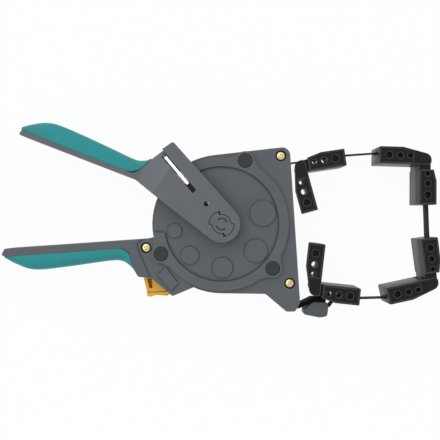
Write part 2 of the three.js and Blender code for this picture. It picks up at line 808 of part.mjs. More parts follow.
// The two holes, the cup at the far end and the sunk panel, which every leg has on its front
function legFace(leg, side, start, hole) {
  const holes = [...legHoles.map((place) => hole(place, side)), blindHole(legCup, side)];
  const walls = holes.map(({ wall: tube }) => tube).filter(Boolean);
  const bores = holes.map(({ bore }) => bore);
  const panel = slab(legOutline(start + legRim, legRim, side), jawHeight - legPanelDepth, jawHeight + 1);
  return cut(join(leg, ...walls), ...bores, panel);
}

// A channel that is open to the outside, with a slot in its end plate for the band
function channelLeg(leg, side, start, hole) {
  const inside = [legInner + legWallThickness, legOuter + 5].map((y) => y * side).sort(ascending);
  const slotHeights = [bandBack - bandRoom, bandFront + bandRoom];
  const slotHalf = bandThickness / 2 + bandRoom;
  const slot = [bandOffset - slotHalf, bandOffset + slotHalf].map((y) => y * side);
  const hollow = cut(
    leg,
    block([-knuckleRadius - 1, legLength - legEndPlate], inside, [jawPlate, jawHeight - jawPlate]),
    block([legLength - 2 * legEndPlate, legLength + 1], slot.sort(ascending), slotHeights),
  );
  return legFace(hollow, side, start, hole);
}

// A tray that is open at the back, with an outer wall that leans in towards the back
function trayLeg(leg, side, start) {
  const lean = (freeLegLean / jawHeight) * side;
  const leaning = slab(legOutline(-heelLength, 0, side, heelRounds), 0, jawHeight, 0, lean);
  const inside = legOutline(knuckleRadius + legWallThickness, legWallThickness, side);
  const hollow = cut(
    leg.intersect(leaning),
    slab(inside, -1, jawHeight - jawPlate, 0, lean).intersect(slab(inside, -1, jawHeight - jawPlate)),
  );
  return legFace(hollow, side, start, tubeHole);
}

// The fork carries the round corner plates; the tongue's barrel turns between them.
function forkLeg(side, hollowOut) {
  const plates = slab(legOutline(-heelLength, 0, side, heelRounds), 0, jawHeight);
  const room = [legInner - 8, legOuter + 5].map((y) => y * side).sort(ascending);
  return cut(
    hollowOut(plates, side, knuckleRadius, blindHole),
    block([-knuckleRadius - 1, forkRoom], room, [forkPlate, jawHeight - forkPlate]),
    rod([0, 0], jawPinRadius + clearance, -1, jawHeight - 1, 14),
  );
}

function tongueLeg(side, start, hole) {
  const low = forkPlate + clearance;
  const high = jawHeight - low;
  const webSide = [legInner, legInner + legWallThickness].map((y) => y * side).sort(ascending);
  const channel = channelLeg(slab(legOutline(start, 0, side), 0, jawHeight), side, start, hole);
  const barrel = rod([0, 0], barrelRadius, low, high);
  const web = block([0, start + 1], webSide, [low, high]);
  const toe = onSide([[0, legInner], [start + 1, legInner], [start + 1, heelOuter], [0, heelOuter]], side);
  const toes = [slab(toe, low, low + jawPlate), slab(toe, high - jawPlate, high)];
  return cut(
    join(channel, barrel, web, ...toes),
    rod([0, 0], jawPinRadius + clearance, 0, jawHeight, 14),
  );
}

const jawPin = () => rod([0, 0], jawPinRadius, 0.4, jawHeight - 1 - clearance, 14);

function addJaw(name, { pin, onBand, other }, onBandLeg, otherLeg) {
  const corner = new THREE.Group();
  corner.position.set(...pin, 0);
  clamp.add(corner);
  const legs = [
    [`${name}_band_leg`, onBandLeg, onBand],
    [`${name}_corner_leg`, otherLeg, other],
  ];
  legs.forEach(([legName, solid, degrees]) => {
    const arm = new THREE.Group();
    arm.rotation.z = radians(degrees);
    corner.add(arm);
    add(legName, solid, blackPlastic, arm);
  });
  add(`${name}_pin`, jawPin(), steel, corner);
}

// The pieces, from the housing outwards
add('rear_shell', rearShell(), grayPlastic);
add('front_shell', frontShell(), grayPlastic);
add('spool_cover', spoolCover(), grayPlastic);
plugPlaces.forEach((place, i) => {
  const coverScrew = screw(place, screwHeadRadius, plugSeat + clearance, coverScrewHead, bandFront + 3);
  add(`boss_plug_${i + 1}`, rod(place, plugRadius, plugBack, coverTop + plugProud), darkPlug);
  add(`cover_screw_${i + 1}`, coverScrew, steel);
});
shellScrewPlaces.forEach((place, i) => {
  const headBack = bodyDepth - screwHeadSink - screwHeadHeight;
  const tip = headBack - screwLength;
  add(`shell_screw_${i + 1}`, screw(place, screwHeadRadius, headBack, screwHeadHeight, tip), yellowZinc);
});

const fixedCoreRoom = slab(inset(fixedCoreOutline, -clearance), coreBack - clearance, coreFront + clearance);
const fixedGrip = slab(inset(fixedGripOutline, clearance), gripBack, gripFront, gripRound);
add('fixed_grip', cut(fixedGrip, fixedCoreRoom), tealGrip);

function bush(back, front) {
  const outside = rod([0, 0], axleRadius + bushWall, back, front);
  return cut(outside, rod([0, 0], axleRadius + clearance, back - 1, front + 1));
}
add('rear_bush', bush(floorUnderBush + clearance, ratchetBack - clearance), brass);
add('front_bush', bush(coverDiscBack + clearance, coverTop - 0.2), brass);
add('guide_pin', rod(guidePin, pinRadius, pinBack, pinFront, 16), steel);
add('hook_post', rod(hookPost, hookPostRadius, pinBack, pinFront, 20), steel);
add('holding_pawl_pin', rod(pawlPivot, pinRadius, floorUnderBush + clearance, split, 16), steel);
add('trigger_pin', rod(triggerPivot, pinRadius, pinBack, pinFront, 16), steel);
const springRing = rod(triggerPivot, triggerCoilRadius, coilBack, coilFront);
const coilBore = rod(triggerPivot, pinRadius + clearance, 0, bodyDepth);
add('trigger_spring', cut(springRing, coilBore), steel);

// Spool
const firstFace = pawlNoseAngle + 1.5;
const ratchetOutline = toothedOutline(ratchetTip, ratchetDepth, ratchetTeeth, firstFace);
const ratchet = slab(ratchetOutline, ratchetBack, ratchetFront);
add('ratchet_wheel', cut(ratchet, hexBore(0, bodyDepth)), steel);
const spoolBody = join(
  rod([0, 0], spoolCoreRadius, bandBack, flangeBack + 0.5),
  rod([0, 0], spoolFlangeRadius, flangeBack, flangeFront, 48),
);
add('spool', cut(spoolBody, hexBore(0, bodyDepth)), blackPlastic);
const roll = rod([0, 0], rollOuter, bandBack, bandFront, 48);
add('band_roll', cut(roll, rod([0, 0], spoolCoreRadius + clearance, 0, bodyDepth)), bandBlack);
add('spool_axle', spoolAxle(), steel);
const washer = rod([0, 0], axleRadius + 4, coverTop + 0.1, leverBottom - clearance);
add('axle_washer', cut(washer, rod([0, 0], axleRadius + clearance, 0, leverTop)), steel);
const driveFace = slotAngle + (1 / (driveTip - driveDepth)) * (180 / Math.PI);
const driveWheel = slab(toothedOutline(driveTip, driveDepth, driveTeeth, driveFace), driveBack, driveFront);
add('drive_wheel', cut(driveWheel, hexBore(0, leverTop)), steel);

// Holding pawl and trigger
const noseTip = polar(ratchetTip + crestGap, pawlNoseAngle);
const pawlBack = wall + 0.6;
const pawlArm = outline([
  plus(pawlPivot, [-3.4, -2]),
  plus(noseTip, polar(5, 215)),
  plus(noseTip, polar(1.6, 232)),
  noseTip,
  plus(pawlPivot, [2, 3.4]),
]);
const pawlSolid = join(
  rod(pawlPivot, pawlBossRadius, pawlBack, pawlBack + pawlThickness),
  slab(pawlArm, pawlBack, pawlBack + pawlThickness),
  slab(pawlTail, pawlBack, pawlBack + pawlThickness),
);
add('holding_pawl', cut(pawlSolid, rod(pawlPivot, pinRadius + clearance, 0, bodyDepth, 16)), steel);
const triggerSolid = join(
  slab(triggerBlade, triggerBack, triggerFront),
  slab(triggerArm, pawlBack, triggerBack + 1),
  rod(triggerPivot, triggerBossRadius, pawlBack, triggerFront),
);
const triggerBore = rod(triggerPivot, pinRadius + clearance, 0, bodyDepth, 16);
const recess = slab(outline(triggerRecess), triggerFront - triggerRecessDepth, triggerFront + 1);
const groove = strip(lipGroove, lipGrooveWidth, triggerFront - lipGrooveDepth, triggerFront + 1);
add('release_trigger', cut(triggerSolid, triggerBore, recess, groove), yellowPlastic);

// Lever
add('lever_body', leverBody(), leverGray);
const leverCoreRoom = slab(inset(leverCoreOutline, -clearance), coreBack - clearance, coreFront + clearance);
const leverGrip = slab(inset(leverGripOutline, clearance), gripBack, gripFront, gripRound);
add('lever_grip', cut(leverGrip, leverCoreRoom), tealGrip);
const baseSolid = slab(baseOutline(0), leverBottom, leverBaseTop);
add('lever_base', along(cut(baseSolid, rod([0, 0], axleRadius + 0.8, 0, leverTop))), steel);
add('hub_lock', hubLock(), leverGray);
add('drive_pawl', drivePawl(), steel);
const springRadius = 1;
const springFrom = pawlBarInner + 2.4 + clearance;
const springLong = slotOuter - clearance - springFrom;
const springGeometry = new THREE.CylinderGeometry(springRadius, springRadius, springLong, 10);
springGeometry.rotateZ(Math.PI / 2).translate(springFrom + springLong / 2, 0, driveBack + springRadius);
add('drive_pawl_spring', along(toSolid(springGeometry)), steel);

// Jaws: the round corner is on the free leg at the housing side,
// and on the leg along the band at the far side.
const farTongueStart = knuckleRadius + knuckleGap;
addJaw('tl', jaws.tl, tongueLeg(1, nearTongueStart, throughHole), forkLeg(-1, trayLeg));
addJaw('tr', jaws.tr, forkLeg(-1, channelLeg), tongueLeg(1, farTongueStart, blindHole));
addJaw('br', jaws.br, forkLeg(1, channelLeg), tongueLeg(-1, farTongueStart, blindHole));
addJaw('bl', jaws.bl, tongueLeg(-1, nearTongueStart, throughHole), forkLeg(1, trayLeg));

// Band, its bends round the two far corners, and the hook on its end
const band = (route) => strip(route, bandThickness, bandBack, bandFront);
const bend = (jaw, from, to) => band(arc(jaw.pin, bandOffset, from - bendGap, to + bendGap, 10));
add('band_feed', band(feedRoute), bandBlack);
add('tr_band_bend', bend(jaws.tr, jaws.tr.onBand - 90, jaws.tr.other + 90), bandBlack);
add('band_right', band(rightRoute), bandBlack);
add('br_band_bend', bend(jaws.br, jaws.br.other - 90, jaws.br.onBand + 90 - 360), bandBlack);
add('band_bottom', band(bottomRoute), bandBlack);
add('hook_tab', slab(tabOutline, bandBack - 2, bandFront + 2, gripRound), grayPlastic);
const underPost = hookPost[1] - hookPostRadius - clearance - hookThickness / 2;
const lipTouch = plus(hookPost, polar(hookPostRadius + clearance + hookThickness / 2, 240));
const hookRoute = [
  plus(lipTouch, polar(5, 150)),
  lipTouch,
  [hookPost[0] + 1, underPost - 0.4],
  [67, underPost - 0.6],
  [71.5, tabTop - 1.6],
  [79, tabTop + clearance + hookThickness / 2],
  [90.5, tabTop + clearance + hookThickness / 2],
];
const hookBack = bandMiddle - hookHeight / 2;
add('band_hook', strip(hookRoute, hookThickness, hookBack, hookBack + hookHeight), blackPlastic);

export default clamp;
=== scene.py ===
# %% [markdown]
# # A ratchet band clamp
# The clamp squeezes a frame while its glue dries. A lever winds a flat black band into a gray disc
# housing, and the band pulls four hinged corner jaws together. The moving parts come ready made
# from the engineering model. This lesson rounds their edges, builds the soft and curved pieces
# over them, and gives every piece a finish.

# %% Load the frame
import json
import math

import bmesh
import bpy
from mathutils import Matrix, Vector


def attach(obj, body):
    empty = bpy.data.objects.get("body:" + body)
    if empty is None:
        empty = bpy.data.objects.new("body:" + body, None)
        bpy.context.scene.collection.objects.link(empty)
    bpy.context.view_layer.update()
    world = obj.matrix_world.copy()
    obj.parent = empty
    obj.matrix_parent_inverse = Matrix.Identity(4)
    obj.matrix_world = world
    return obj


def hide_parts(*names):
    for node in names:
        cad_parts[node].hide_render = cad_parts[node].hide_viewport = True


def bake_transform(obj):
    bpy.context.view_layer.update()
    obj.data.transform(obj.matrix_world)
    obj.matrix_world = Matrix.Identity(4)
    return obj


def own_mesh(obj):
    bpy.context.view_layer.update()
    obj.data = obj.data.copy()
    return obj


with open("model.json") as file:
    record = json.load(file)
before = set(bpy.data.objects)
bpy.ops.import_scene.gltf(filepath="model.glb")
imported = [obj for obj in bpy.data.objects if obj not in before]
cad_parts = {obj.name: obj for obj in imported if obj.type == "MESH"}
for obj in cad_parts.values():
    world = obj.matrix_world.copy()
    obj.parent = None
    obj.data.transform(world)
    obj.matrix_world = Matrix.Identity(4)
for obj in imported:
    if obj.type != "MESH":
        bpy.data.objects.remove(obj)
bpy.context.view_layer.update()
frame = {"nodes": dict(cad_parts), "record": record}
nodes = frame["nodes"]
MM = 0.001
print("nodes loaded:", len(nodes))

# %% [markdown]
# ## Camera
# The clamp lies flat and is seen from straight above. A long way off, a lens would hide the sides
# of the jaws; at half a metre their inner walls lean into view, so that is where the camera hangs.

# %% Camera
camera_place = Vector((-1.4, 3.4, 520)) * MM
frame_pixels = 440
focal_pixels = 576
lens = bpy.data.cameras.new("camera")
lens.sensor_width = 36
lens.lens = lens.sensor_width * focal_pixels / frame_pixels
camera = bpy.data.objects.new("camera", lens)
camera.location = camera_place
bpy.context.scene.collection.objects.link(camera)
bpy.context.scene.camera = camera
bpy.context.scene.view_settings.view_transform = "Standard"
print("lens in mm:", round(lens.lens, 1))

# %% [markdown]
# ## Light and floor
# A studio sweep is a bright world with one very large, soft lamp at the upper left. On a face that
# looks up they add to about one, so a colour renders as it is written. The lamp's slant makes one
# side of a step a little brighter than the other, without a hard shadow. The world itself shows
# white to the camera and to mirrors, whatever light it sheds.

# %% World and lamp
world_level = 0.68
lamp_level = 0.46
lamp_tilt = (-30, -38)
lamp_angle = 90


def ray_switch(tree):
    """One where the camera or a mirror looks, else zero."""
    path = tree.nodes.new("ShaderNodeLightPath")
    seen = None
    for socket in ("Is Camera Ray", "Is Glossy Ray", "Is Transmission Ray"):
        if seen is None:
            seen = path.outputs[socket]
            continue
        larger = tree.nodes.new("ShaderNodeMath")
        larger.operation = "MAXIMUM"
        tree.links.new(seen, larger.inputs[0])
        tree.links.new(path.outputs[socket], larger.inputs[1])
        seen = larger.outputs[0]
    return seen


world = bpy.data.worlds.new("studio")
bpy.context.scene.world = world
world.use_nodes = True
backdrop = world.node_tree.nodes["Background"]
backdrop.inputs["Color"].default_value = (1, 1, 1, 1)
level = world.node_tree.nodes.new("ShaderNodeMapRange")
level.inputs["To Min"].default_value = world_level
level.inputs["To Max"].default_value = 1
world.node_tree.links.new(ray_switch(world.node_tree), level.inputs["Value"])
world.node_tree.links.new(level.outputs["Result"], backdrop.inputs["Strength"])

lamp_data = bpy.data.lights.new("window", "SUN")
lamp_data.energy = lamp_level * math.pi
lamp_data.angle = math.radians(lamp_angle)
lamp = bpy.data.objects.new("window", lamp_data)
lamp.rotation_euler = (math.radians(lamp_tilt[0]), math.radians(lamp_tilt[1]), 0)
bpy.context.scene.collection.objects.link(lamp)
slant = math.cos(math.radians(lamp_tilt[0])) * math.cos(math.radians(lamp_tilt[1]))
print("light on an upward face:", round(world_level + lamp_level * slant, 2))

# %% [markdown]
# The floor is one large plane just below the clamp. To the camera and to mirrors it glows white
# like the sweep behind it, and it keeps a little of its plain surface so that a soft shadow
# remains.

# %% Floor
shadow_share = 0.05
floor_half = 3
floor_drop = 0.2 * MM
floor_white = (0.92, 0.92, 0.92, 1)

floor_mesh = bpy.data.meshes.new("floor")
floor_corners = ((-1, -1), (1, -1), (1, 1), (-1, 1))
floor_mesh.from_pydata(
    [(x * floor_half, y * floor_half, -floor_drop) for x, y in floor_corners],
    [],
    [(0, 1, 2, 3)],
)
floor = bpy.data.objects.new("floor", floor_mesh)
bpy.context.scene.collection.objects.link(floor)

floor_paint = bpy.data.materials.new("white sweep")
floor_paint.use_nodes = True
tree = floor_paint.node_tree
surface = tree.nodes["Principled BSDF"]
surface.inputs["Base Color"].default_value = floor_white
surface.inputs["Roughness"].default_value = 0.9
glow = tree.nodes.new("ShaderNodeEmission")
glow.inputs["Strength"].default_value = 1
mix = tree.nodes.new("ShaderNodeMixShader")
share = tree.nodes.new("ShaderNodeMath")
share.operation = "MULTIPLY"
share.inputs[1].default_value = 1 - shadow_share
tree.links.new(ray_switch(tree), share.inputs[0])
tree.links.new(share.outputs[0], mix.inputs["Fac"])
tree.links.new(surface.outputs[0], mix.inputs[1])
tree.links.new(glow.outputs[0], mix.inputs[2])
tree.links.new(mix.outputs[0], tree.nodes["Material Output"].inputs["Surface"])
floor_mesh.materials.append(floor_paint)
print("floor side in metres:", 2 * floor_half)

# %% [markdown]
# ## Finishes
# Every finish is a small tree of nodes, and the trees share their parts: a screen colour turned
# into linear light, noise of a known size, a change of range, a mix of two colours, and relief.
# Each part is a short function, so a finish reads as a list of what is on the surface.


# %% Colour and noise
def colour(code, gain=1.0):
    """A six-digit screen colour as linear light, times a gain."""
    channels = [int(code[i : i + 2], 16) / 255 for i in (0, 2, 4)]
    linear = [c / 12.92 if c <= 0.04045 else ((c + 0.055) / 1.055) ** 2.4 for c in channels]
    return (*[min(1, c * gain) for c in linear], 1)


def start_material(name):
    material = bpy.data.materials.new(name)
    material.use_nodes = True
    tree = material.node_tree
    place = tree.nodes.new("ShaderNodeTexCoord").outputs["Object"]
    return material, tree, tree.nodes["Principled BSDF"], place


def noise(tree, place, size, detail=2.0, stretch=None):
    """Noise with features of about one size in metres, drawn out along the axes by stretch."""
    if stretch:
        mapping = tree.nodes.new("ShaderNodeMapping")
        mapping.inputs["Scale"].default_value = stretch
        tree.links.new(place, mapping.inputs["Vector"])
        place = mapping.outputs["Vector"]
    node = tree.nodes.new("ShaderNodeTexNoise")
    node.inputs["Scale"].default_value = 1 / size
    node.inputs["Detail"].default_value = detail
    tree.links.new(place, node.inputs["Vector"])
    return node.outputs["Fac"]


print("middle gray in linear light:", round(colour("808080")[0], 3))


# %% Ranges, mixes and relief
ray_samples = 8


def spread(tree, value, low, high, from_low=0.3, from_high=0.7):
    """Maps a value's usual range onto low to high."""
    node = tree.nodes.new("ShaderNodeMapRange")
    node.inputs["From Min"].default_value = from_low
    node.inputs["From Max"].default_value = from_high
    node.inputs["To Min"].default_value = low
    node.inputs["To Max"].default_value = high
    tree.links.new(value, node.inputs["Value"])
    return node.outputs["Result"]


def blend_colours(tree, amount, first, second):
    """Mixes two colours; the first may also be another node's output."""
    node = tree.nodes.new("ShaderNodeMix")
    node.data_type = "RGBA"
    tree.links.new(amount, node.inputs["Factor"])
    for socket, value in ((node.inputs[6], first), (node.inputs[7], second)):
        if isinstance(value, tuple):
            socket.default_value = value
        else:
            tree.links.new(value, socket)
    return node.outputs[2]


def raise_bumps(tree, shader, height, depth, edge=None):
    """Adds a fine relief; with an edge radius, sharp edges also catch the light as if rounded."""
    node = tree.nodes.new("ShaderNodeBump")
    node.inputs["Distance"].default_value = depth
    tree.links.new(height, node.inputs["Height"])
    tree.links.new(node.outputs["Normal"], shader.inputs["Normal"])
    if edge:
        rounded = tree.nodes.new("ShaderNodeBevel")
        rounded.samples = ray_samples
        rounded.inputs["Radius"].default_value = edge
        tree.links.new(rounded.outputs["Normal"], node.inputs["Normal"])


print("rays for each edge or corner:", ray_samples)

# %% [markdown]
# Moulded plastic is never one flat colour. The mould is spark-eroded, which leaves a fine grain;
# the pigment drifts a little from one side to the other; the edges are painted paler, partly as
# rubbed wear and partly as a painted highlight where a rounded edge catches the light; and the
# inner corners get a painted shade, darker where less light reaches. A bevel node finds the edges:
# it gives the slope that a rounded edge would have, which differs from the flat's own slope only
# near an edge. An occlusion node finds the inner corners by how much of a piece lies close round a
# point. It looks at its own piece alone, so nothing is left behind when the pieces move.

# %% Worn and highlit edges, painted shade in the corners
edge_band = (0.93, 0.997)
corner_band = (0.5, 0.97)


def open_air(tree, reach):
    """Zero deep in an inner corner, one on open flats and edges."""
    node = tree.nodes.new("ShaderNodeAmbientOcclusion")
    node.samples = ray_samples
    node.only_local = True
    node.inputs["Distance"].default_value = reach
    return node.outputs["AO"]


def flatness(tree, reach):
    """One on flats, about 0.7 on a square edge, from how far rounding would turn the surface."""
    rounded = tree.nodes.new("ShaderNodeBevel")
    rounded.samples = ray_samples
    rounded.inputs["Radius"].default_value = reach
    surface = tree.nodes.new("ShaderNodeNewGeometry")
    node = tree.nodes.new("ShaderNodeVectorMath")
    node.operation = "DOT_PRODUCT"
    tree.links.new(rounded.outputs["Normal"], node.inputs[0])
    tree.links.new(surface.outputs["Normal"], node.inputs[1])
    return node.outputs["Value"]


def paint_edges_and_corner_shade(tree, plain, code, shade, openness, corner_depth, edge_gain, edge_share, edge_reach):
    """Pales the edges as wear and painted highlight, then paints shade into the inner corners."""
    # Painted highlight and wear: the edges are paled, as if rubbed and catching the light.
    edges = spread(tree, flatness(tree, edge_reach), edge_share, 0, *edge_band)
    rubbed_and_highlit = blend_colours(tree, edges, plain, colour(code, edge_gain))
    # Painted shade: inner corners darken where the occlusion finds little open air, as less light
    # gets in.
    corners = spread(tree, openness, corner_depth, 0, *corner_band)
    return blend_colours(tree, corners, rubbed_and_highlit, shade)


print("edges are paled below a flatness of", edge_band[1])

# %% [markdown]
# The jaws' walls rub on every frame they hold. That leaves pale streaks which run level along each
# wall. Noise that is drawn out sideways makes the streaks, and the height above the floor keeps
# them off the top and the underside. A wide occlusion node keeps them out of the holes.

# %% Scuffed walls
scuff_start = (0.2 * MM, 1.6 * MM)
scuff_fade = (12 * MM, 18 * MM)
scuff_gain = 26
streak_size = 2 * MM
streak_stretch = (0.08, 0.08, 1)
hole_reach = 9 * MM
hole_band = (0.7, 0.95)


def scuffed_sides(tree, place, plain, code):
    """Pale scuffs low on the sides, but not underneath, in streaks that run level."""
    height = tree.nodes.new("ShaderNodeSeparateXYZ")
    tree.links.new(place, height.inputs[0])
    amount = spread(tree, height.outputs["Z"], 1, 0, *scuff_fade)
    streaks = spread(tree, noise(tree, place, streak_size, 3, streak_stretch), 0.1, 1)
    outside = spread(tree, open_air(tree, hole_reach), 0, 1, *hole_band)
    lifted = spread(tree, height.outputs["Z"], 0, 1, *scuff_start)
    for share in (streaks, outside, lifted):
        product = tree.nodes.new("ShaderNodeMath")
        product.operation = "MULTIPLY"
        tree.links.new(amount, product.inputs[0])
        tree.links.new(share, product.inputs[1])
        amount = product.outputs[0]
    return blend_colours(tree, amount, plain, colour(code, scuff_gain))


print("scuffs fade out at mm:", round(scuff_fade[1] / MM))

# %% [markdown]
# One recipe makes all the moulded plastics: grain, drift, pale edges and painted corner shade,
# then gloss and relief. The pale edges are partly wear and partly painted highlight; each setting
# for them is a gain, a share and a reach: how much paler an edge is, how fully, and how wide.

# %% Moulded plastic
plain_wear_and_highlight = (1.3, 0.7, 0.9 * MM)
rubbed_wear_and_highlight = (9, 0.9, 1.6 * MM)
trigger_wear_and_highlight = (1.3, 0.8, 1.1 * MM)
hook_wear_and_highlight = (3, 0.5, 0.8 * MM)
moulded_edge = 0.45 * MM
grain_depth = 0.03 * MM
grain_roughness = 0.07
drift_size, drift_gains = 28 * MM, (0.94, 1.06)
corner_reach = 3 * MM
corner_shade = 0.16


def moulded_plastic(
    name,
    code,
    roughness,
    grain=0.5 * MM,
    gloss=0.3,
    corner_shade_depth=0.9,
    shade=None,
    wear_and_highlight=plain_wear_and_highlight,
    scuffed=False,
):
    material, tree, shader, place = start_material(name)
    fine = noise(tree, place, grain, 3)
    broad = noise(tree, place, drift_size, 4)
    dark_and_pale = [colour(code, gain) for gain in drift_gains]
    drifted = blend_colours(tree, spread(tree, broad, 0, 1), *dark_and_pale)
    if scuffed:
        drifted = scuffed_sides(tree, place, drifted, code)
    openness = open_air(tree, corner_reach)
    # The colour of the painted shade in the inner corners.
    dark = colour(shade) if shade else colour(code, corner_shade)
    edged_and_shaded = paint_edges_and_corner_shade(tree, drifted, code, dark, openness, corner_shade_depth, *wear_and_highlight)
    tree.links.new(edged_and_shaded, shader.inputs["Base Color"])
    shader.inputs["Specular IOR Level"].default_value = gloss
    rough = spread(tree, fine, roughness - grain_roughness, roughness + grain_roughness)
    tree.links.new(rough, shader.inputs["Roughness"])
    raise_bumps(tree, shader, fine, grain_depth, moulded_edge)
    return material


finish = {
    "gray_plastic": moulded_plastic("gray housing plastic", "55595d", 0.52),
    "lever_gray": moulded_plastic("gray lever plastic", "5d6166", 0.5),
    "tab_gray": moulded_plastic("gray tab plastic", "4b4f53", 0.55),
    "black_plastic": moulded_plastic(
        "black jaw plastic", "151516", 0.4, 0.4 * MM, gloss=0.15, wear_and_highlight=rubbed_wear_and_highlight, scuffed=True
    ),
    "hook_black": moulded_plastic(
        "black hook plastic", "0e0e0f", 0.6, 0.4 * MM, gloss=0.03, wear_and_highlight=hook_wear_and_highlight
    ),
    "dark_plug": moulded_plastic("dark plug plastic", "2d2d2b", 0.6, 0.7 * MM),
    # The trigger's inner corners take an orange-brown painted shade.
    "yellow_plastic": moulded_plastic(
        "yellow trigger plastic", "dca63a", 0.38, corner_shade_depth=0.8, shade="a64a06", wear_and_highlight=trigger_wear_and_highlight
    ),
}
print("plastics:", len(finish))

# %% [markdown]
# The grips are a softer plastic, moulded over the gray core. It has a closer grain and a
# faint velvet sheen, and it picks up a little dull grime where the palm rests.

# %% Soft teal grip
pore_size = 0.35 * MM
palm_size = 34 * MM


def soft_grip(name, code):
    material, tree, shader, place = start_material(name)
    pores = noise(tree, place, pore_size, 2)
    palm = noise(tree, place, palm_size, 5)
    handled = blend_colours(tree, spread(tree, palm, 0, 1), colour(code, 0.92), colour(code, 1.07))
    tree.links.new(handled, shader.inputs["Base Color"])
    tree.links.new(spread(tree, palm, 0.5, 0.64), shader.inputs["Roughness"])
    shader.inputs["Sheen Weight"].default_value = 0.1
    shader.inputs["Specular IOR Level"].default_value = 0.25
    raise_bumps(tree, shader, pores, grain_depth)
    return material


finish["teal_grip"] = soft_grip("soft teal grip", "23898b")
print("grip finish:", finish["teal_grip"].name)

# %% [markdown]
# Metal takes its look from what it mirrors, so its base is a mirror with a drawn grain: noise that
# is stretched along the bar roughens it in fine lines.

# %% Drawn metal
line_size = 0.3 * MM
line_depth = 0.01 * MM
stain_size = 6 * MM


def drawn_metal(name, code, roughness, stretch=(1, 1, 1)):
    material, tree, shader, place = start_material(name)
    lines = noise(tree, place, line_size, 3, stretch)
    stain = noise(tree, place, stain_size, 3)
    tinted = blend_colours(tree, spread(tree, stain, 0, 1), colour(code, 0.9), colour(code, 1.08))
    tree.links.new(tinted, shader.inputs["Base Color"])
    shader.inputs["Metallic"].default_value = 1
    rough = spread(tree, lines, roughness - 0.08, roughness + 0.1)
    tree.links.new(rough, shader.inputs["Roughness"])
    raise_bumps(tree, shader, lines, line_depth)
    return material


finish["steel"] = drawn_metal("bright drawn steel", "cfcfcc", 0.3, (1, 1, 0.08))
finish["brass"] = drawn_metal("turned brass", "b59a55", 0.35)
print("drawn metals:", finish["steel"].name, "and", finish["brass"].name)

# %% [markdown]
# Yellow zinc plate drifts between straw and pale green, as its thin film does. A ramp turns one
# noise into that row of tints.

# %% Zinc plate
film_size = 2.4 * MM
film_tints = ((0.25, "b5a66a"), (0.45, "d6c98f"), (0.6, "ded2a0"), (0.75, "c2bd85"))


def zinc_plate(name):
    material, tree, shader, place = start_material(name)
    film = noise(tree, place, film_size, 3)
    ramp = tree.nodes.new("ShaderNodeValToRGB")
    for i, (where, code) in enumerate(film_tints):
        stop = ramp.color_ramp.elements[i] if i < 2 else ramp.color_ramp.elements.new(where)
        stop.position = where
        stop.color = colour(code)
    tree.links.new(film, ramp.inputs["Fac"])
    tree.links.new(ramp.outputs["Color"], shader.inputs["Base Color"])
    shader.inputs["Metallic"].default_value = 1
    tree.links.new(spread(tree, film, 0.24, 0.4), shader.inputs["Roughness"])
    return material


finish["yellow_zinc"] = zinc_plate("yellow zinc plate")
print("tints in the zinc film:", len(film_tints))

# %% [markdown]
# The pawl is steel whose top has been ground bright. Below one height it is blackened, and that
# near-black also stands in as painted shade deep in the lever's slot. The same finish serves the
# black pins of the jaws, which lie below that height.

# %% Ground bar
bright_height = 36.6 * MM
bright_fade = 0.2 * MM
scratch_size = 0.25 * MM


def ground_bar(name, bright_from):
    """Near-black steel below a height, also painted shade in the slot; ground bright above it."""
    material, tree, shader, place = start_material(name)
    height = tree.nodes.new("ShaderNodeSeparateXYZ")
    tree.links.new(place, height.inputs[0])
    ground = spread(tree, height.outputs["Z"], 0, 1, bright_from, bright_from + bright_fade)
    scratches = noise(tree, place, scratch_size, 3)
    scratched = spread(tree, scratches, 0, 1)
    black_and_slot_shade = blend_colours(tree, scratched, colour("17181a"), colour("26272a"))
    steel = blend_colours(tree, ground, black_and_slot_shade, colour("f4f4f1"))
    tree.links.new(steel, shader.inputs["Base Color"])
    tree.links.new(ground, shader.inputs["Metallic"])
    shader.inputs["Specular IOR Level"].default_value = 0.15
    tree.links.new(spread(tree, scratches, 0.3, 0.48), shader.inputs["Roughness"])
    return material


finish["pawl"] = ground_bar("ground pawl steel", bright_height)
print("finishes so far:", len(finish))

# %% [markdown]
# The band is woven nylon. Seen close, its face is a tight basket of ribs: warp yarns along the band
# and weft yarns across. Two waves, laid over the strip's own length and width, cross each
# other to make that basket, so the strip carries a map of its length and width in metres. At a
# scale of one, a wave node turns through 20 radians in each unit of length.

# %% Woven band
yarns = (("X", 0.9 * MM), ("Y", 0.7 * MM))
wave_radians = 20
fuzz_size = 0.5 * MM
weave_depth = 0.12 * MM


def woven_band(name, code):
    material, tree, shader, place = start_material(name)
    strip = tree.nodes.new("ShaderNodeUVMap")
    heights = []
    for direction, yarn in yarns:
        wave = tree.nodes.new("ShaderNodeTexWave")
        wave.bands_direction = direction
        wave.inputs["Scale"].default_value = 2 * math.pi / (wave_radians * yarn)
        tree.links.new(strip.outputs["UV"], wave.inputs["Vector"])
        heights.append(wave.outputs["Fac"])
    basket = tree.nodes.new("ShaderNodeMath")
    basket.operation = "MULTIPLY"
    tree.links.new(heights[0], basket.inputs[0])
    tree.links.new(heights[1], basket.inputs[1])
    fuzz = noise(tree, place, fuzz_size, 3)
    woven = blend_colours(tree, basket.outputs[0], colour(code, 0.6), colour(code, 1.3))
    dusty = blend_colours(tree, spread(tree, fuzz, 0, 0.15), woven, colour(code, 2))
    tree.links.new(dusty, shader.inputs["Base Color"])
    shader.inputs["Roughness"].default_value = 0.75
    shader.inputs["Specular IOR Level"].default_value = 0.2
    shader.inputs["Sheen Weight"].default_value = 0.04
    raise_bumps(tree, shader, basket.outputs[0], weave_depth)
    return material


finish["band"] = woven_band("woven black band", "131314")
print("finishes:", ", ".join(sorted(finish)))

